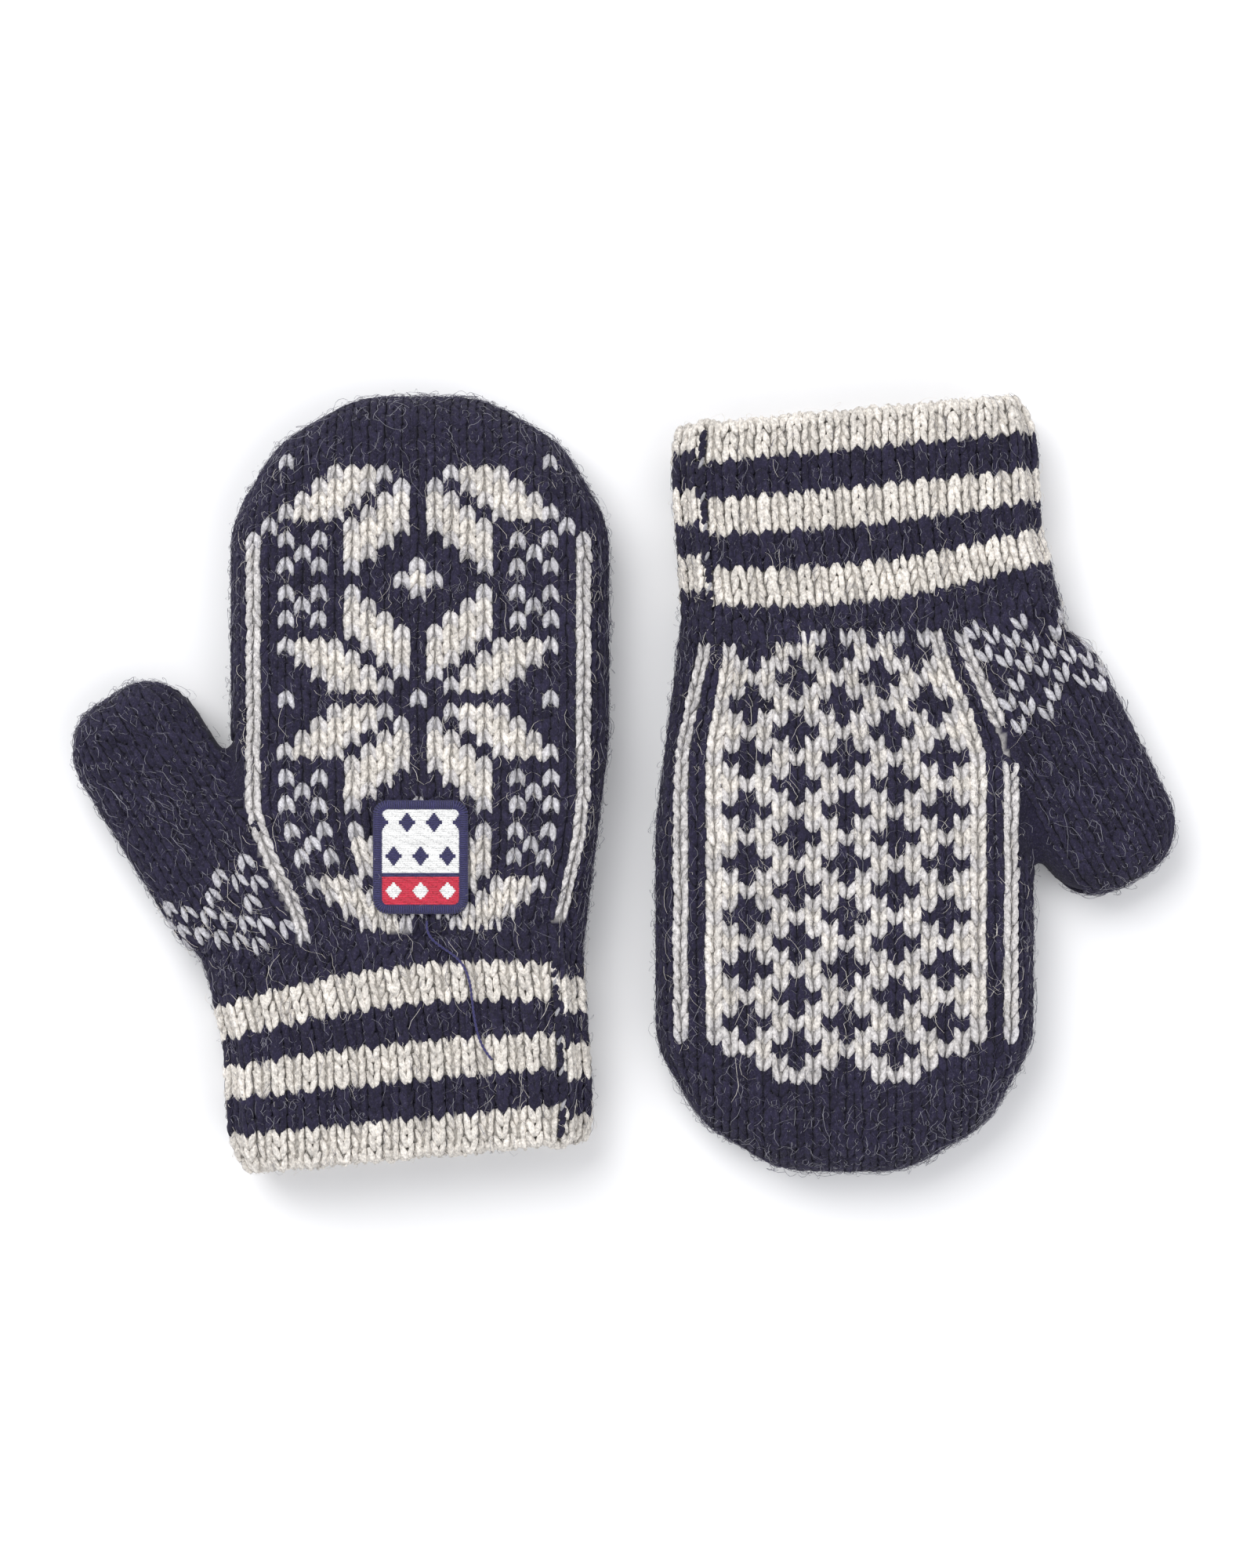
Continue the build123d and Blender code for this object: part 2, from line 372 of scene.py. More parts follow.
class Skin:
    """The outer surface of a mitten's felted form, found by casting rays at it."""

    def __init__(self, mitten):
        self.mitten = mitten
        self.points, self.normals, self.faces = felt_form(mitten)
        self.tree = BVHTree.FromPolygons([Vector(p) for p in self.points], self.faces)
        self.edge_y = np.arange(mitten.hem_y - 6, mitten.tip_y - 1, 1.0)
        self.edge_x = {}
        for side in (1, -1):
            starts = [(side * FAR, y, mitten.half_height) for y in self.edge_y]
            found = np.array([self.hit(start, (-side, 0, 0))[0][0] for start in starts])
            good = ~np.isnan(found) & (self.edge_y > mitten.hem_y + HEM_SLANT)
            self.edge_x[side] = np.interp(self.edge_y, self.edge_y[good], found[good])
        above_fork = self.edge_y > mitten.fork[1] - 4
        self.edge_x[-1] = np.where(above_fork, -self.edge_x[1], self.edge_x[-1])

    def hit(self, start, direction):
        place, normal, _, _ = self.tree.ray_cast(Vector(start), Vector(direction))
        if place is None:
            return np.full(3, np.nan), np.full(3, np.nan)
        return np.array(place), np.array(normal)

    def outside(self, origin, direction, reaches=(REACH,)):
        """The surface point on the ray from origin, looked for inwards from each reach in turn."""
        origin, direction = np.asarray(origin, float), unit(np.asarray(direction, float))
        for reach in reaches:
            place, normal = self.hit(origin + direction * reach, -direction)
            if normal @ direction > 0:  # otherwise the search began inside the cloth, or found none
                return place, normal
        return np.full(3, np.nan), np.full(3, np.nan)

    def edge(self, side, y):
        return float(np.interp(y, self.edge_y, self.edge_x[side]))

    def tip(self, x):
        """How far the fingertips reach at x."""
        return self.hit((x, PAST_TIPS, self.mitten.half_height), (0, -1, 0))[0][1]

    def lining(self):
        """Marks the vertices of the pocket's inside: cloth lies both above and below them."""
        marks = []
        for point, normal in zip(self.points, self.normals):
            start = point + normal
            found = [self.hit(start, (0, 0, way))[0][0] for way in (1, -1)]
            marks.append(not np.isnan(found).any())
        return np.array(marks)


def felt_colours(skin, lining):
    """Colour of the felt at each vertex, by the chart of the stitches over it, with painted shade on the
    pale felt between the stitches.
    """
    mitten = skin.mitten
    points = skin.points
    region = mitten.regions(points)
    up = mitten.up_cuff(points)
    up = up + band_arch(up) * (points[:, 0] / ARCH_HALF) ** 2
    colours = np.tile(NAVY, (len(points), 1))
    for i, (x, y, z) in enumerate(points):
        if region[i] == CUFF:
            colours[i] = band_colour(up[i])
        elif region[i] in (HAND, FINGERS):
            chart, start = CHARTS[mitten.faces[1 if z > mitten.half_height else -1]]
            column = round((x - middle_x(y)) / stitch_pitch(y))
            if abs(column) <= PATTERN_COLUMNS:
                colours[i] = chart_colour(chart, column, round((y - start) / ROW))
    # painted shade: the pale felt between the stitches is darkened, but not the inside of the pocket
    in_painted_shade = ~is_dark(colours) & ~lining
    return colours * np.where(in_painted_shade, PAINTED_SHADE_FELT, OPEN_FELT)[:, None]


# ---- strands of yarn

RINGS = 5
SIDES = 6
RISE = np.linspace(0, 1, RINGS)  # from the foot to the head of one leg of a stitch
SWELL = np.sin(np.pi * (0.08 + 0.84 * RISE))  # how full the yarn is there
TILE_EDGE, TILE_SPAN = 0.08, 0.84  # of a strand's square on the texture map


class Strands:
    """Closed tapered strands that become one mesh. Every strand has the same number of rings."""

    def __init__(self, rings=RINGS, sides=SIDES):
        self.rings, self.sides = rings, sides
        self.size = rings * sides
        self.parts = []

    def add(self, centres, across, up, widths, heights, colours):
        """Adds strands round their centres (strand, ring, 3). The strands may share the other values."""
        widths, heights = (np.broadcast_to(sizes, centres.shape[:2]) for sizes in (widths, heights))
        centres[..., 2] = np.maximum(centres[..., 2], heights)  # nothing sinks into the table
        across, up, colours = (np.broadcast_to(v, centres[:, 0].shape) for v in (across, up, colours))
        self.parts.append((centres, across, up, widths, heights, colours))

    def arrays(self):
        return [np.concatenate(column) for column in zip(*self.parts)]

    def build(self, name, mitten, material, chosen=None):
        """Makes one piece of the chosen strands, with their colours and their measure along the yarn."""
        parts = self.arrays()
        if chosen is not None:
            parts = [part[chosen] for part in parts]
        centres, across, up, widths, heights, colours = parts
        angles = np.arange(self.sides) * 2 * np.pi / self.sides
        cosine, sine = np.cos(angles), np.sin(angles)
        wide = widths[:, :, None, None] * cosine[None, None, :, None] * across[:, None, None, :]
        tall = heights[:, :, None, None] * sine[None, None, :, None] * up[:, None, None, :]
        points = centres[:, :, None, :] + wide + tall
        mirrored = np.sum(np.cross(across, up) * (centres[:, -1] - centres[:, 0]), axis=1) < 0
        mesh = self.tubes(name, mitten.to_frame(points.reshape(-1, 3)), mirrored)

        paint(mesh, np.repeat(colours, self.size, axis=0))
        strand = np.zeros((len(centres), self.rings, self.sides, 3), np.float32)
        lengths = np.linalg.norm(np.diff(centres, axis=1), axis=2)
        strand[:, 1:, :, 0] = np.cumsum(lengths, axis=1)[..., None]
        strand[..., 1] = cosine
        strand[..., 2] = sine
        mesh.attributes.new("strand", "FLOAT_VECTOR", "POINT").data.foreach_set("vector", strand.ravel())
        self.lay_out(mesh, len(centres))
        mesh.materials.append(material)
        return link_object(name, mesh)

    def tubes(self, name, vertices, mirrored):
        """The mesh of capped tubes round the rings. The faces of a mirrored strand run the other way."""
        ring, side = np.meshgrid(np.arange(self.rings - 1), np.arange(self.sides), indexing="ij")
        here, beside = (ring * self.sides + place % self.sides for place in (side, side + 1))
        corners = [here, beside, beside + self.sides, here + self.sides]
        quads = np.stack(corners, -1).reshape(-1, 4)
        start_cap = np.arange(self.sides)[::-1]
        end_cap = np.arange(self.size - self.sides, self.size)
        first = (np.arange(len(mirrored)) * self.size)[:, None, None]
        loops, sizes = [], []
        for faces in (quads, np.stack([start_cap, end_cap])):
            wound = np.where(mirrored[:, None, None], faces[None, :, ::-1], faces[None])
            loops.append((wound + first).ravel())
            sizes.append(np.full(len(mirrored) * len(faces), faces.shape[1]))
        loops, sizes = np.concatenate(loops), np.concatenate(sizes)

        mesh = bpy.data.meshes.new(name)
        mesh.vertices.add(len(vertices))
        mesh.vertices.foreach_set("co", vertices.astype(np.float32).ravel())
        mesh.loops.add(len(loops))
        mesh.loops.foreach_set("vertex_index", loops.astype(np.int32))
        mesh.polygons.add(len(sizes))
        mesh.polygons.foreach_set("loop_start", (np.cumsum(sizes) - sizes).astype(np.int32))
        mesh.update(calc_edges=True)
        mesh.validate()
        mesh.polygons.foreach_set("use_smooth", np.ones(len(sizes), bool))
        return mesh

    def lay_out(self, mesh, count):
        """Gives each strand its own square tile of the texture map."""
        across_map = math.ceil(math.sqrt(count))
        vertex = np.zeros(len(mesh.loops), np.int32)
        mesh.loops.foreach_get("vertex_index", vertex)
        which = vertex // self.size
        ring = vertex % self.size // self.sides
        side = (vertex % self.sides).astype(float)
        quad_loops = count * (self.size - self.sides) * 4
        wrap = side[:quad_loops].reshape(-1, 4)
        last = (wrap.max(1) == self.sides - 1) & (wrap.min(1) == 0)
        wrap[last] = np.where(wrap[last] == 0, self.sides, wrap[last])
        u = (which % across_map + TILE_EDGE + TILE_SPAN * ring / (self.rings - 1)) / across_map
        v = (which // across_map + TILE_EDGE + TILE_SPAN * side / self.sides) / across_map
        layer = mesh.uv_layers.new(name="OFBake")
        layer.data.foreach_set("uv", np.stack([u, v], -1).astype(np.float32).ravel())


# ---- stitches

LEG_FOOT, LEG_LEAN, LEG_BOW = 0.39, 0.27, 0.04  # of a stitch's width
LEG_LENGTH = 1.42  # of a row
SINK = 0.42  # how deep the ends of a leg lie
YARN_HEIGHT = 0.78
# of dark and of pale yarn
CREST = (0.16, 0.42)
THICKNESS = (0.29, 0.235)
MOTTLE = (0.16, 0.05)


def level(heading, normal):
    """The headings, laid flat on the skin."""
    return unit(heading - normal * np.sum(heading * normal, axis=1, keepdims=True))


def draw_stitches(stitches):
    """Turns each stitch (place, heading, normal, width, height, colour, lift) into two slanting legs."""
    place, heading, normal, width, height, colour, lift = columns_of(stitches)
    normal = unit(normal)
    heading = level(heading, normal)
    across = unit(np.cross(heading, normal))
    count = len(place)
    turn = RANDOM.normal(0, 0.07, (count, 1))
    heading, across = heading + across * turn, across - heading * turn
    for direction in (across, heading):
        place = place + direction * RANDOM.normal(0, 0.12, (count, 1))
    dark = is_dark(colour)
    crest, thick, mottle = (np.where(dark, *pair)[:, None] for pair in (CREST, THICKNESS, MOTTLE))
    strands = Strands()
    for side in (-1, 1):
        size = RANDOM.normal(1, 0.07, (count, 1))
        x = side * width[:, None] * (LEG_FOOT - LEG_LEAN * RISE + LEG_BOW * SWELL)
        y = height[:, None] * (RISE - 0.5) * LEG_LENGTH
        z = (crest * SWELL - SINK) * size + lift[:, None]
        centres = place[:, None] + x[..., None] * across[:, None] + y[..., None] * heading[:, None]
        centres = centres + z[..., None] * normal[:, None]
        lean = side * LEG_LEAN * (width / height / LEG_LENGTH)[:, None]
        uneven = RANDOM.normal(1, 0.08, (count, RINGS))
        widths = thick * width[:, None] * size * (0.2 + 0.8 * SWELL) * uneven
        heights = YARN_HEIGHT * size * (0.5 + 0.5 * SWELL) * uneven
        tone = colour * RANDOM.normal(1, 1, (count, 1)).clip(-2, 2) * mottle + colour
        strands.add(centres, unit(across + heading * lean), normal, widths, heights, tone)
    return strands


def smooth_along(values):
    """Evens out a row of vectors along a column of knitting."""
    for _ in range(2):
        padded = np.concatenate([values[:1], values, values[-1:]])
        values = (padded[:-2] + 2 * padded[1:-1] + padded[2:]) / 4
    return values


def longest_run(places):
    """The longest stretch of places without a gap or a jump, as a slice."""
    steps = np.linalg.norm(np.diff(places, axis=0), axis=1)
    broken = np.flatnonzero(~(steps < JUMP))  # a missing place makes its steps missing too
    ends = np.concatenate([[-1], broken, [len(places) - 1]])
    best = int(np.argmax(np.diff(ends)))
    return slice(ends[best] + 1, ends[best + 1] + 1)


class Column:
    """A column's path over the skin. Marks follow the plan until even_until, then the path's length."""

    def __init__(self, skin, rays, plain, even_until, reaches):
        places, normals = columns_of([skin.outside(*ray, reaches) for ray in rays])
        run = longest_run(places)
        self.places = places[run]
        self.marks = []
        if len(self.places) < SHORTEST:
            return
        self.normals = unit(smooth_along(normals[run]))
        plain = plain[run]
        steps = np.linalg.norm(np.diff(self.places, axis=0), axis=1)
        travelled = np.concatenate([[0], np.cumsum(steps)])
        turning = min(np.searchsorted(plain, even_until), len(plain) - 1)
        after = plain[turning] + travelled - travelled[turning]
        self.marks = np.where(np.arange(len(plain)) <= turning, plain, after)

    def at(self, mark):
        def read(table, where):
            return np.array([np.interp(where, self.marks, table[:, axis]) for axis in range(3)])

        heading = read(self.places, mark + 1.0) - read(self.places, mark - 1.0)
        return read(self.places, mark), heading, read(self.normals, mark)

    def rows(self, start, row):
        """Each row's number and mark, and its place, heading and normal. A column too short has none."""
        if len(self.marks) == 0:
            return
        first = math.ceil((self.marks[0] - start) / row)
        last = math.floor((self.marks[-1] - start) / row)
        for index in range(first, last + 1):
            mark = start + index * row
            yield index, mark, *self.at(mark)


def turning_column(skin, ray_at, first, turning, ahead, turns, even_until, reaches=(REACH,)):
    """A column whose rays follow ray_at up to turning, and there turn over the end, towards ahead."""
    plain = np.arange(first, turning, 1.0)
    rays = [ray_at(place) for place in plain]
    start, lean = ray_at(turning)
    angles = np.linspace(0, math.pi / 2, turns)
    for angle in angles:
        rays.append((start, np.array(lean) * math.cos(angle) + np.array(ahead) * math.sin(angle)))
    plain = np.append(plain, turning + angles * 0.001)
    return Column(skin, rays, plain, even_until, reaches)


def hand_ray(skin, column, face, y):
    """Where to look for the hand's surface, for a column of one face at y."""
    mitten = skin.mitten
    height = mitten.half_height
    held = min(y, FOLD_PIVOT)
    side = 1 if column > 0 else -1
    steps = abs(column)
    across = steps * stitch_pitch(held)
    below_fork = side < 0 and y < mitten.fork[1]
    if below_fork:
        return (middle_x(held) - across, y, height), (0, 0, face)
    edge = skin.edge(side, held)
    flat = abs(edge - middle_x(held)) - HAND_ROUND
    fold = flat + HAND_ROUND * math.pi / 2
    if steps > PATTERN_COLUMNS:
        even = PATTERN_COLUMNS * stitch_pitch(held)
        outer = FACE_COLUMNS + 1 - PATTERN_COLUMNS
        across = even + (steps - PATTERN_COLUMNS) / outer * (fold - even)
    if across <= flat:
        return (middle_x(held) + side * across, y, height), (0, 0, face)
    angle = (across - flat) / HAND_ROUND
    return (edge - side * HAND_ROUND, y, height), (side * math.sin(angle), 0, face * math.cos(angle))


def hand_column(skin, column, face):
    """A column of one face, from the wrist or the thumb up and over the fingertips."""
    mitten = skin.mitten
    first = WRIST_Y if column >= -PATTERN_COLUMNS else mitten.fork[1] + 1.5
    origin, direction = hand_ray(skin, column, face, FOLD_PIVOT)
    if abs(column) <= PATTERN_COLUMNS:
        turning = skin.tip(origin[0] + direction[0] * HAND_ROUND) - HAND_ROUND
    else:
        turning = SIDE_TURN + SIDE_TURN_STEP * (FACE_COLUMNS + 1 - abs(column))
    even_until = min(mitten.crown_y, turning - 1.5)

    def ray_at(y):
        return hand_ray(skin, column, face, y)

    return turning_column(skin, ray_at, first, turning, (0, 1, 0), 30, even_until)


def under_badge(mitten, place):
    """True well inside the badge's footprint, where its backing takes the stitches' room."""
    if mitten is not RIGHT or place[2] < mitten.half_height:
        return False
    low, high = badge_box()
    return all(low[i] + 1.5 < place[i] < high[i] - 1.5 for i in (0, 1))


def knit_hand(skin, stitches):
    """Both faces of the hand and fingers, with their patterns, and the folds between them."""
    mitten = skin.mitten
    for face, pattern in mitten.faces.items():
        chart, start = CHARTS[pattern]
        for column in range(-FACE_COLUMNS, FACE_COLUMNS + 1):
            path = hand_column(skin, column, face)
            for row, mark, place, heading, normal in path.rows(start, ROW):
                if mitten.regions(place) not in (HAND, FINGERS) or under_badge(mitten, place):
                    continue
                colour = chart_colour(chart, column, row) if abs(column) <= PATTERN_COLUMNS else NAVY
                pitch = stitch_pitch(min(mark, FOLD_PIVOT))
                stitches.append((place, heading, normal, pitch, ROW, colour, 0.0))
    for side in (1, -1):
        knit_fold(skin, stitches, side)


def knit_fold(skin, stitches, side):
    """The middle column of the hand's fold, from the wrist or thumb up to the fingertips."""
    mitten = skin.mitten
    first = WRIST_Y + 2.0 if side > 0 else mitten.fork[1] + 3.0
    reaches = (skin.edge(1, FOLD_PIVOT) + FOLD_REACH,)

    def ray_at(y):
        return (0, y, mitten.half_height), (side, 0, 0)

    path = turning_column(skin, ray_at, first, FOLD_PIVOT, (0, 1, 0), 50, FOLD_PIVOT - 1.5, reaches)
    for _, _, place, heading, normal in path.rows(0.0, ROW):
        if mitten.regions(place) in (HAND, FINGERS):
            stitches.append((place, heading, normal, STITCH, ROW, NAVY, 0.0))


PAIR_SHIFT, PAIR_LEAN, RIDGE = 0.25, 0.5, 0.35  # how the two columns of a rib meet, lean and rise
ROWS_BELOW = 2  # where the hem slants


def cuff_place(skin, column, face, up):
    """The cuff's place, normal and column pitch, at a column of one face and a distance up."""
    mitten = skin.mitten
    x = 0.0
    for _ in range(3):  # the rows tilt and bow, so the height depends on the place across
        y = mitten.on_band(up, x)
        left, right = skin.edge(-1, y), skin.edge(1, y)
        flat = (right - left) / 2 - HAND_ROUND
        pitch = 2 * (flat + HAND_ROUND * math.pi / 2) / CUFF_COLUMNS
        across = (column - (CUFF_COLUMNS - 1) / 2) * pitch
        side = 1 if across > 0 else -1
        angle = max(0.0, (abs(across) - flat) / HAND_ROUND)
        inner = (left + right) / 2 + side * min(abs(across), flat)
        x = inner + side * HAND_ROUND * math.sin(angle)
    direction = (side * math.sin(angle), 0, face * math.cos(angle))
    return *skin.outside((inner, y, mitten.half_height), direction), pitch


def knit_cuff(skin, stitches):
    """The ribbed cuff in its bands of colour. The two columns of a rib touch and lean apart."""
    mitten = skin.mitten
    rows = math.ceil((mitten.wrist_end - mitten.hem_y) / CUFF_ROW) + 2
    for row in range(-ROWS_BELOW, rows):
        up = (row + 0.5) * CUFF_ROW
        ribbed = 1 - smooth(up, RIB_FADE, RIB_END)
        for face in (1, -1):
            for column in range(CUFF_COLUMNS):
                place, normal, pitch = cuff_place(skin, column, face, up)
                if np.isnan(place[0]) or mitten.regions(place) != CUFF:
                    continue
                outward = 1 if column % 2 == 1 else -1
                aside = unit(np.cross((0.0, 1.0, 0.0), normal)) * outward * face
                place = place - aside * PAIR_SHIFT * ribbed
                raised = unit(normal + aside * PAIR_LEAN * ribbed)
                beyond_seam = face > 0 and column >= CUFF_COLUMNS - SEAM_COLUMNS
                colour = band_colour(max(up, 0.0) + SEAM_STEP * beyond_seam)
                stitches.append((place, -mitten.down, raised, pitch, CUFF_ROW, colour, RIDGE * ribbed))


THUMB_TURN = 30.0  # where a column that passes beside the thumb's tip turns over


def thumb_half_width(skin):
    """Half the thumb's width where it bends, from its outer edge."""
    mitten = skin.mitten
    far = mitten.on_thumb(mitten.bend_place, -100.0)
    edge = skin.hit((*far, mitten.thumb_half_height), (*mitten.side, 0))[0]
    return -(edge[:2] @ mitten.side - mitten.thumb_offset)


def thumb_pitch(half_width):
    return (half_width - THUMB_ROUND + THUMB_ROUND * math.pi / 2) / (THUMB_COLUMNS + 1)


def thumb_ray(skin, half_width, column, face, place):
    """Where to look for the thumb's surface, for a column of one face at a place along the thumb."""
    mitten = skin.mitten
    flat = half_width - THUMB_ROUND
    across = abs(column) * thumb_pitch(half_width)
    side = 1 if column > 0 else -1
    angle = max(0.0, (across - flat) / THUMB_ROUND)
    x, y = mitten.on_thumb(place, side * min(across, flat))
    sideways = mitten.side * side * math.sin(angle)
    return (x, y, mitten.thumb_half_height), (*sideways, face * math.cos(angle))


def thumb_column(skin, half_width, column, face):
    """A column along the thumb, turning over its tip."""
    mitten = skin.mitten
    forward = mitten.along

    def ray_at(place):
        return thumb_ray(skin, half_width, column, face, place)

    origin, sideways = ray_at(0.0)
    offset = origin[:2] @ mitten.side - mitten.thumb_offset
    offset += (sideways[:2] @ mitten.side) * THUMB_ROUND
    far = mitten.on_thumb(FAR, offset)
    tip = skin.hit((*far, mitten.thumb_half_height), (*-forward, 0))[0]
    turning = THUMB_TURN if np.isnan(tip[0]) else tip[:2] @ forward - THUMB_ROUND
    reaches = (THUMB_ROUND + FOLD_REACH, REACH)
    return turning_column(skin, ray_at, -20.0, turning, (*forward, 0), 12, turning - 1.5, reaches)


def knit_thumb(skin, stitches):
    """The thumb and the gusset at its root, in columns along the thumb."""
    half_width = thumb_half_width(skin)
    pitch = thumb_pitch(half_width)
    last = THUMB_COLUMNS + 1
    for face in (1, -1):
        for column in range(-last, last + 1):
            if abs(column) == last and face < 0:
                continue  # the folds' middle columns belong to both faces
            path = thumb_column(skin, half_width, column, face)
            for row, _, place, heading, normal in path.rows(0.0, ROW):
                if skin.mitten.regions(place) in (GUSSET, THUMB):
                    colour = GREY_WHITE if gusset_chart(column, row) else NAVY
                    stitches.append((place, heading, normal, pitch, ROW, colour, 0.0))


# ---- loose fibres

FIBRES = 15000  # per mitten
FIBRE_RINGS = 6


def draw_fibres(skin, stitches, count):
    """Fine curly hairs that cling to the felted wool and stand a little off it, and where they start."""
    place, heading, normal, _, _, colour, lift = columns_of(stitches)
    pick = RANDOM.integers(0, len(place), count)
    normal = unit(normal[pick])
    heading = level(heading[pick], normal)
    across = np.cross(heading, normal)
    length = RANDOM.gamma(2.2, 1.6, count).clip(1.2, 13.0)
    angle = RANDOM.uniform(0, 2 * np.pi, count)
    curl = RANDOM.normal(0, 0.6, count)
    step = length / (FIBRE_RINGS - 1)
    jitter = RANDOM.uniform(-1.8, 1.8, (count, 2))
    spot = place[pick] + across * jitter[:, :1] + heading * jitter[:, 1:]
    loft = RANDOM.gamma(1.6, 0.32, count).clip(0.1, 2.0)
    share = np.linspace(0, 1, FIBRE_RINGS)
    rise = 0.35 + lift[pick][:, None] + loft[:, None] * np.sin(np.pi * share * 0.8)[None]
    wiggle = np.cumsum(RANDOM.normal(0, 0.5, (count, FIBRE_RINGS)), axis=1)
    bearing = angle[:, None] + curl[:, None] * np.arange(FIBRE_RINGS)[None] + wiggle
    moves = np.cos(bearing)[..., None] * across[:, None] + np.sin(bearing)[..., None] * heading[:, None]
    centres = spot[:, None] + np.cumsum(moves * step[:, None, None], axis=1)
    roots = [skin.tree.find_nearest(Vector(point))[:2] for point in centres.reshape(-1, 3)]
    foot, outward = (np.array([root[i] for root in roots]).reshape(centres.shape) for i in (0, 1))
    centres = foot + rise[..., None] * outward
    thick = RANDOM.uniform(0.035, 0.06, count)[:, None]
    dark = is_dark(colour[pick])
    pale = RANDOM.uniform(0, 1, count)
    shades = np.where(dark[:, None], NAVY * 2.2, CREAM * 0.9)
    shades = np.where((dark & (pale < 0.5))[:, None], PALE_FIBRE, shades)
    shades = np.where((~dark & (pale < 0.25))[:, None], PALE_FIBRE * 0.8, shades)
    fibres = Strands(FIBRE_RINGS, 3)
    fibres.add(centres, across, normal, thick, thick, shades)
    return fibres, spot


# ---- materials


class Nodes:
    """Short names for building a material's node tree."""

    def __init__(self, name):
        self.material = bpy.data.materials.new(name)
        self.material.use_nodes = True
        self.tree = self.material.node_tree
        self.shader = self.tree.nodes["Principled BSDF"]

    def feed(self, node, inputs):
        """Sets a node's inputs to values, or links them to other nodes' outputs."""
        for key, value in inputs.items():
            if isinstance(value, bpy.types.NodeSocket):
                self.tree.links.new(value, node.inputs[key])
            else:
                node.inputs[key].default_value = value

    def add(self, kind, inputs, output=0, **settings):
        node = self.tree.nodes.new("ShaderNode" + kind)
        for key, value in settings.items():
            setattr(node, key, value)
        self.feed(node, inputs)
        return node.outputs[output]

    def noise(self, vector, scale, detail):
        return self.add("TexNoise", {"Vector": vector, "Scale": scale, "Detail": detail}, "Fac")

    def position(self):
        return self.add("TexCoord", {}, "Object")

    def attribute(self, name, output):
        return self.add("Attribute", {}, output, attribute_name=name)

    def spread(self, value, start, end, low=0.3, high=0.7):
        """Maps value from low..high, the usual range of noise, to start..end."""
        inputs = {"Value": value, "From Min": low, "From Max": high, "To Min": start, "To Max": end}
        return self.add("MapRange", inputs, "Result")

    def maths(self, operation, first, second):
        return self.add("Math", {0: first, 1: second}, operation=operation)

    def vector_maths(self, operation, *vectors):
        return self.add("VectorMath", dict(enumerate(vectors)), operation=operation)

    def scaled(self, colour, factor):
        return self.add("VectorMath", {0: colour, "Scale": factor}, operation="SCALE")

    def bumped(self, height, distance):
        return self.add("Bump", {"Distance": distance, "Strength": 1.0, "Height": height}, "Normal")


def wool_material(name, along_strand):
    """Felted wool: heathered colour, fibres along the yarn and a soft edge."""
    nodes = Nodes(name)
    place = nodes.position()
    patches = nodes.noise(place, 160.0, 2.0)
    grain = nodes.noise(place, 1500.0, 4.0)
    shade = nodes.maths("MULTIPLY", nodes.spread(patches, 0.86, 1.1), nodes.spread(grain, 0.62, 1.26))
    colour = nodes.scaled(nodes.attribute("wool_colour", "Color"), shade)
    heather = nodes.spread(nodes.noise(place, 2200.0, 2.0), 0.0, 0.2, 0.58, 0.72)
    mix = {"Factor": heather, "A": colour, "B": HEATHER}
    height = grain
    if along_strand:
        fibres = nodes.vector_maths("MULTIPLY", nodes.attribute("strand", "Vector"), (0.5, 2.2, 2.2))
        shifted = nodes.vector_maths("MULTIPLY_ADD", place, (400.0, 400.0, 400.0), fibres)
        height = nodes.maths("ADD", grain, nodes.noise(shifted, 1.6, 2.0))
    surface = {
        "Base Color": nodes.add("Mix", mix, "Result", data_type="RGBA"),
        "Roughness": nodes.spread(grain, 0.85, 1.0),
        "Normal": nodes.bumped(height, 0.00045),
        "Sheen Weight": 0.06,
        "Sheen Roughness": 0.6,
        "Specular IOR Level": 0.08,
    }
    nodes.feed(nodes.shader, surface)
    return nodes.material


def thread_material():
    """Smooth twisted polyester thread."""
    nodes = Nodes("sewing_thread")
    colour = nodes.attribute("wool_colour", "Color")
    grain = nodes.noise(nodes.position(), 3000.0, 3.0)
    surface = {
        "Base Color": nodes.scaled(colour, nodes.spread(grain, 0.75, 1.2)),
        "Roughness": nodes.spread(grain, 0.4, 0.65),
        "Normal": nodes.bumped(grain, 0.00015),
        "Sheen Weight": 0.2,
    }
    nodes.feed(nodes.shader, surface)
    return nodes.material


def fibre_material():
    """Single hairs, too thin to need more than their own colour."""
    nodes = Nodes("wool_fibre")
    nodes.feed(nodes.shader, {"Base Color": nodes.attribute("wool_colour", "Color"), "Roughness": 0.9})
    return nodes.material


STITCH_WOOL = wool_material("stitch_wool", True)
FELT_WOOL = wool_material("felt_wool", False)
FIBRE_WOOL = fibre_material()
THREAD = thread_material()


# ---- pieces


def attach(mitten, obj, region):
    """Lets a piece of the hand follow the hand's body. Any other piece only has its transform baked in;
    the ends of the stretch where it would bend are worked out but not used.
    """
    if region == HAND:
        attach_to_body(obj, f"{mitten.name}_hand")
        return
    if region == CUFF:
        wrist = np.array((0, mitten.wrist_end, 0))
        bodies, ends = ("hand", "cuff"), (wrist, wrist + mitten.down * WRIST_FOLD)
    elif region == FINGERS:
        bodies, ends = ("hand", "fingers"), ((0, mitten.fold_start, 0), (0, mitten.fold_end, 0))
    else:
        bodies = ("hand", "thumb")
        places = (mitten.fork_place - SWING_BEFORE, mitten.fork_place + SWING_PAST)
        if region == THUMB:
            bodies = ("thumb", "thumb_end")
            places = (mitten.bend_place - BEND_FOLD, mitten.bend_place + BEND_FOLD)
        ends = [np.append(mitten.on_thumb(place, 0.0), 0.0) for place in places]
    first, second = (f"{mitten.name}_{body}" for body in bodies)
    start, end = (mitten.to_frame(point) for point in ends)
    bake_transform(obj)
    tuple(start)
    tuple(end)


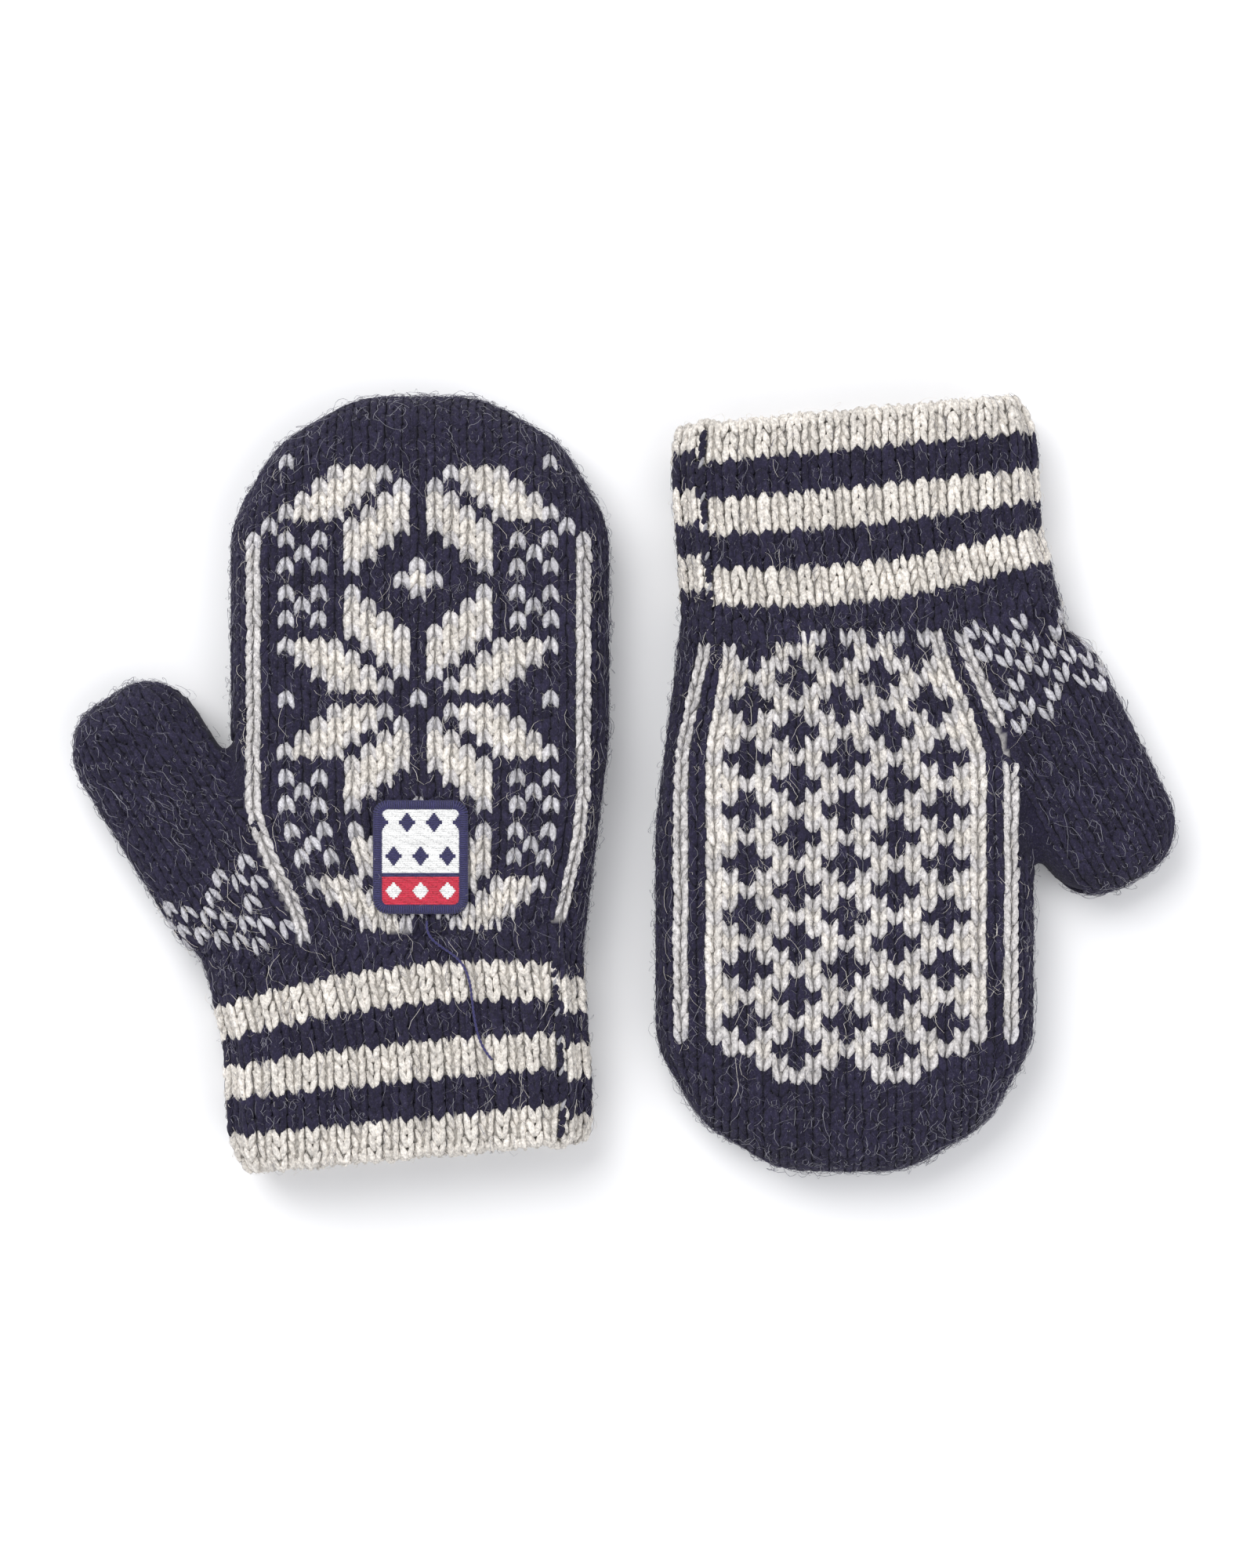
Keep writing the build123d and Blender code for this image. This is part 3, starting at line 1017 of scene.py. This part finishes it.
def install(obj, mitten, region, slot, *nodes):
    """Hides the CAD nodes that a piece stands for, and hands the piece to attach."""
    if nodes:
        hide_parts(*nodes)
    attach(mitten, obj, region)


def slot_name(mitten, region):
    if region in (GUSSET, THUMB):
        return "navy_wool"
    if region == CUFF:
        return "cream_wool"
    return f"{mitten.faces[1]}_pattern"


def make_felt(skin):
    """Cuts the felted form into its regions, and colours it."""
    mitten = skin.mitten
    lining = skin.lining()
    colours = felt_colours(skin, lining)
    points = skin.points - skin.normals * np.where(lining, 0.0, FELT_DEPTH)[:, None]
    centres = np.array([skin.points[list(face)].mean(0) for face in skin.faces])
    region = mitten.regions(centres)
    for index, name in enumerate(REGIONS):
        faces = [skin.faces[i] for i in np.flatnonzero(region == index)]
        used = sorted({i for face in faces for i in face})
        place_of = {old: new for new, old in enumerate(used)}
        vertices = [tuple(p) for p in mitten.to_frame(points[used])]
        faces = [[place_of[i] for i in face] for face in faces]
        obj = new_object(f"{mitten.name}_{name}_felt", vertices, faces)
        obj.data.polygons.foreach_set("use_smooth", np.ones(len(faces), bool))
        paint(obj.data, colours[used])
        obj.data.materials.append(FELT_WOOL)
        install(obj, mitten, index, slot_name(mitten, index), *own_nodes(mitten, index))


def make_yarn(mitten, strands, spots, kind, material):
    """One piece per region of the given strands."""
    region = mitten.regions(spots)
    for index, name in enumerate(REGIONS):
        chosen = np.flatnonzero(region == index)
        obj = strands.build(f"{mitten.name}_{name}_{kind}", mitten, material, chosen)
        install(obj, mitten, index, slot_name(mitten, index))


def make_mitten(mitten):
    skin = Skin(mitten)
    stitches = []
    for knit in (knit_cuff, knit_hand, knit_thumb):
        knit(skin, stitches)
    make_felt(skin)
    make_hem(skin)
    make_seam(skin)
    strands = draw_stitches(stitches)
    middles = strands.arrays()[0][:, RINGS // 2]
    make_yarn(mitten, strands, middles, "stitches", STITCH_WOOL)
    fibres, spots = draw_fibres(skin, stitches, FIBRES)
    make_yarn(mitten, fibres, spots, "fibres", FIBRE_WOOL)


# ---- hem and seam of the cuff

LOOP_RADIUS = 1.5  # half the depth of a cast-on loop
LOOP_DROP = 1.7
LOOP_LEAN, LOOP_WIDTH, LOOP_HEIGHT = 0.22, 0.27, 0.55
HEM_SEARCH = np.arange(-7.0, 3.0, 0.4)  # distances up the cuff
HEM_DEPTH = 3  # steps of the search from the edge up to the loops


def make_hem(skin):
    """Cast-on loops that wrap the cuff's open edge."""
    down = skin.mitten.down
    arc = np.linspace(0.0, math.pi, RINGS)
    parts = []
    for face in (1, -1):
        for step in range(2 * CUFF_COLUMNS):
            reached = [cuff_place(skin, step / 2 - 0.25, face, up) for up in HEM_SEARCH]
            reached = [spot for spot in reached if not np.isnan(spot[0][0])]
            if len(reached) <= HEM_DEPTH:
                continue
            place, normal, pitch = reached[HEM_DEPTH]
            flat = unit(normal - down * (normal @ down))
            across = np.cross(down, flat)
            curve = place - flat * LOOP_RADIUS + np.outer(np.cos(arc), flat) * LOOP_RADIUS
            curve = curve + np.outer(np.sin(arc), down) * LOOP_DROP
            parts.append((curve + np.outer(np.cos(arc), across * pitch * LOOP_LEAN), across, pitch))
    centres, across, pitch = columns_of(parts)
    across = unit(across)
    up = unit(np.cross(across, centres[:, -1] - centres[:, 0]))
    widths = pitch[:, None] * LOOP_WIDTH * (0.6 + 0.4 * SWELL)
    loops = Strands()
    loops.add(centres, across, up, widths, LOOP_HEIGHT, CREAM * RANDOM.normal(1, 0.04, (len(parts), 1)))
    obj = loops.build(f"{skin.mitten.name}_hem_loops", skin.mitten, STITCH_WOOL)
    install(obj, skin.mitten, CUFF, "cream_wool")


SEAM_LIFT, PALE_LIFT = 0.95, 1.15
SEAM_SLANT, SEAM_RISE = 1.0, 2.6  # of one stitch
SEAM_WIDTH = 0.85


def seam_point(skin, across, up):
    """A point on the top side of the cuff's outer fold, across millimetres down it, and its normal."""
    mitten = skin.mitten
    y = mitten.on_band(up, skin.edge(1, mitten.hem_y + up))
    turn = across / HAND_ROUND
    origin = (skin.edge(1, y) - HAND_ROUND, y, mitten.half_height)
    return skin.outside(origin, (math.sin(turn), 0, math.cos(turn)))


def make_seam(skin):
    """The overcast yarn that closes the cuff along its outer fold, with every fourth stitch pale."""
    mitten = skin.mitten
    parts = []
    for step in range(SEAM_STITCHES):
        up = 1.0 + step * SEAM_LENGTH / SEAM_STITCHES
        across = SEAM_ACROSS + SEAM_SLANT * (RISE - 0.5)
        hits = [seam_point(skin, *spot) for spot in zip(across, up + SEAM_RISE * RISE)]
        if any(np.isnan(place[0]) for place, _ in hits):
            continue
        pale = step % 4 == 3
        lift = PALE_LIFT if pale else SEAM_LIFT
        parts.append((np.array([place + lift * normal for place, normal in hits]), hits[2][1], pale))
    centres, normal, pale = columns_of(parts)
    normal, pale = unit(normal), pale[:, None]
    along = unit(centres[:, -1] - centres[:, 0])
    width = SEAM_WIDTH * (0.45 + 0.55 * SWELL) * np.where(pale, 0.55, 1.0)
    shades = np.where(pale, GREY_WHITE * 0.8, NAVY)
    seam = Strands()
    seam.add(centres, np.cross(along, normal), normal, width, width, shades)
    obj = seam.build(f"{mitten.name}_cuff_seam_yarn", mitten, STITCH_WOOL)
    install(obj, mitten, CUFF, "cream_wool", f"{mitten.name}_cuff_seam")


# ---- the sewn badge and its loose thread

BORDER_WIDTH = 1.9
BADGE_CORNER = 3.2
BACKING_DEPTH = 0.4  # under the badge's lowest point
BACKING_TOP = 0.45  # under its highest
CHAMFER = 0.3
FIELD_PITCH = 0.42  # between rows of the badge's woven threads
FIELD_DROP = 0.42  # from the badge's highest point
WEAVE_STEPS = 60  # across one row
SATIN_PITCH = 0.5  # between stitches of its border
RED_END = -0.36  # where the white field begins, from -1 to 1
TAIL_SLICES, TAIL_RINGS = 22, 90
TAIL_TURN = 2.0  # length of one twist
PLY_OFFSET, PLY_RADIUS = 0.16, 0.2


def badge_box():
    corners = RIGHT.to_local(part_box("right_badge_border"))
    return corners.min(0), corners.max(0)


def rounded_outline(half, corner, spacing):
    """Evenly spaced points round a rounded rectangle, with their outward directions."""
    points, normals = [], []
    for quarter, signs in enumerate(((1, 1), (-1, 1), (-1, -1), (1, -1))):
        for turn in np.linspace(0, math.pi / 2, 13) + quarter * math.pi / 2:
            normal = np.array((math.cos(turn), math.sin(turn)))
            points.append(np.array(signs) * (half - corner) + corner * normal)
            normals.append(normal)
    points, normals = np.array(points + points[:1]), np.array(normals + normals[:1])
    travelled = np.concatenate([[0], np.cumsum(np.linalg.norm(np.diff(points, axis=0), axis=1))])
    count = round(travelled[-1] / spacing)
    marks = np.arange(count) * travelled[-1] / count
    tables = (points, normals)
    even = [np.stack([np.interp(marks, travelled, table[:, i]) for i in (0, 1)], -1) for table in tables]
    return even[0], unit(even[1])


def make_badge_backing(low, high):
    """A thin plate under the badge's threads, with a bevelled upper edge."""
    middle, half = (low + high)[:2] / 2, (high - low)[:2] / 2
    outline, normals = rounded_outline(half, BADGE_CORNER, 1.0)
    count = len(outline)
    bottom, top = low[2] - BACKING_DEPTH, high[2] - BACKING_TOP
    vertices = []
    for inset, z in ((0.0, bottom), (0.0, top - CHAMFER), (CHAMFER, top)):
        vertices += [(*point, z) for point in middle + outline - inset * normals]
    faces = [tuple(reversed(range(count))), tuple(range(2 * count, 3 * count))]
    for start in (0, count):
        for i in range(count):
            j = (i + 1) % count
            faces.append((start + i, start + j, start + count + j, start + count + i))
    obj = new_object("right_badge_backing", [tuple(p) for p in RIGHT.to_frame(vertices)], faces)
    paint(obj.data, np.tile(BADGE_NAVY, (len(vertices), 1)))
    obj.data.materials.append(THREAD)
    install(obj, RIGHT, HAND, "badge_thread")


def motif_colour(u, v):
    """The badge's weave: a red and a white field with rows of small lozenges. u, v: -1 to 1."""
    if abs(v - RED_END) < 0.05:
        return BADGE_NAVY
    red = v < RED_END
    upper_row = v >= 0.36
    row_middle = -0.68 if red else (0.70 if upper_row else 0.02)
    off_centre = abs((u * 1.5 + (1.0 if upper_row else 0.5)) % 1 - 0.5)
    if off_centre * 1.15 + abs(v - row_middle) * 1.9 < 0.36:
        return BADGE_WHITE if red else BADGE_NAVY
    return BADGE_RED if red else BADGE_WHITE


def woven_runs(row, v):
    """The start, end and colour of a row's threads. Staggered cuts part the long ones."""
    edges = np.linspace(-1, 1, WEAVE_STEPS + 1)
    colours = [motif_colour((edges[i] + edges[i + 1]) / 2, v) for i in range(WEAVE_STEPS)]
    start = 0
    for i in range(1, WEAVE_STEPS + 1):
        staggered = (i + 3 * (row % 4)) % 12 == 0
        if staggered or i == WEAVE_STEPS or colours[i] is not colours[start]:
            yield edges[start], edges[i], colours[start]
            start = i


def make_badge_field(low, high):
    """Rows of woven threads in the motif's colours."""
    middle, half = (low + high) / 2, (high - low) / 2 - BORDER_WIDTH * 0.8
    z = high[2] - FIELD_DROP + 0.1 * SWELL
    parts = []
    rows = int(2 * half[1] / FIELD_PITCH)
    for row in range(rows):
        v = (row + 0.5) / rows * 2 - 1
        y = np.full(RINGS, middle[1] + v * half[1])
        for start, end, colour in woven_runs(row, v):
            first, last = middle[0] + half[0] * start, middle[0] + half[0] * end
            parts.append((np.stack([first + (last - first) * RISE, y, z], -1), colour))
    centres, colours = columns_of(parts)
    shades = colours * RANDOM.normal(1, 0.06, (len(parts), 1))
    field = Strands()
    field.add(centres, (0.0, 1.0, 0.0), UPWARDS, 0.23, 0.2 * (0.7 + 0.3 * SWELL), shades)
    obj = field.build("right_badge_weave", RIGHT, THREAD)
    install(obj, RIGHT, HAND, "badge_weave", "right_badge_field")


def make_badge_border(low, high):
    """Satin stitches laid side by side over the badge's edge."""
    middle, half = (low + high)[:2] / 2, (high - low)[:2] / 2
    inset = BORDER_WIDTH / 2
    spots, normals = rounded_outline(half - inset, BADGE_CORNER - inset, SATIN_PITCH)
    count = len(spots)
    arc = np.linspace(0, math.pi, RINGS)
    out = -np.cos(arc) * (inset + 0.15)
    centres = np.zeros((count, RINGS, 3))
    centres[..., :2] = spots[:, None] + middle + out[None, :, None] * normals[:, None]
    centres[..., 2] = high[2] - 0.5 + np.sin(arc) * 0.65
    across = np.stack([-normals[:, 1], normals[:, 0], np.zeros(count)], -1)
    border = Strands()
    border.add(centres, across, UPWARDS, 0.26, 0.26, BADGE_NAVY * RANDOM.normal(1, 0.08, (count, 1)))
    obj = border.build("right_badge_satin_border", RIGHT, THREAD)
    install(obj, RIGHT, HAND, "badge_thread", "right_badge_border")


def make_tail():
    """The loose end of sewing thread: two plies twisted round the CAD thread's middle line."""
    vertices = RIGHT.to_local([v.co for v in frame["nodes"]["right_badge_thread"].data.vertices])
    slices = np.array_split(vertices[np.argsort(-vertices[:, 1])], TAIL_SLICES)
    line = np.array([part.mean(0) for part in slices])
    steps = np.concatenate([[0], np.cumsum(np.linalg.norm(np.diff(line, axis=0), axis=1))])
    marks = np.linspace(0, steps[-1], TAIL_RINGS)
    middle = np.stack([np.interp(marks, steps, line[:, i]) for i in range(3)], -1)
    middle = smooth_along(smooth_along(middle))
    middle[:, 2] += 1.0
    side = np.cross(unit(np.gradient(middle, axis=0)), UPWARDS)
    tail = Strands(TAIL_RINGS)
    for phase in (0, math.pi):
        twist = (marks * 2 * math.pi / TAIL_TURN + phase)[:, None]
        ply = middle + PLY_OFFSET * (np.cos(twist) * side + np.sin(twist) * np.array(UPWARDS))
        tail.add(ply[None], side.mean(0), UPWARDS, PLY_RADIUS, PLY_RADIUS, BADGE_NAVY * 1.4)
    obj = tail.build("right_badge_loose_thread", RIGHT, THREAD)
    install(obj, RIGHT, CUFF, "badge_thread", "right_badge_thread")


# ---- setting, in metres

VIEW_HEIGHT = 0.360  # length of the table that the picture's long side takes in
CAMERA_HEIGHT = 1.2
CAMERA_X = 0.00084
FLOOR_HALF = 3.0


def make_stage():
    corners = [(x * FLOOR_HALF, y * FLOOR_HALF, 0) for x, y in ((-1, -1), (1, -1), (1, 1), (-1, 1))]
    floor = new_object("floor", corners, [(0, 1, 2, 3)])
    nodes = Nodes("pale_table")
    nodes.feed(nodes.shader, {"Base Color": (0.92, 0.92, 0.925, 1), "Roughness": 0.8})
    floor.data.materials.append(nodes.material)


def make_light(name, place, size, power):
    light = bpy.data.lights.new(name, "AREA")
    light.size = size
    light.energy = power
    obj = link_object(name, light)
    obj.location = place
    obj.rotation_mode = "QUATERNION"
    obj.rotation_quaternion = Vector(place).to_track_quat("Z", "Y")


def make_camera():
    camera = bpy.data.cameras.new("camera")
    camera.lens = camera.sensor_width * CAMERA_HEIGHT / VIEW_HEIGHT
    obj = link_object("camera", camera)
    obj.location = (CAMERA_X, 0.0, CAMERA_HEIGHT + RIGHT.half_height / MM)
    bpy.context.scene.camera = obj


def make_world():
    world = bpy.data.worlds.new("soft_studio")
    world.use_nodes = True
    background = world.node_tree.nodes["Background"]
    background.inputs["Color"].default_value = (0.95, 0.96, 1.0, 1)
    background.inputs["Strength"].default_value = 0.62
    bpy.context.scene.world = world
    bpy.context.scene.view_settings.view_transform = "Standard"


for pair_member in (RIGHT, LEFT):
    make_mitten(pair_member)
for make_part in (make_badge_backing, make_badge_field, make_badge_border):
    make_part(*badge_box())
make_tail()
make_stage()
make_light("key", (-0.6, 0.8, 1.4), 1.2, 22.0)
make_light("fill", (0.9, -0.7, 1.4), 1.6, 12.0)
make_camera()
make_world()
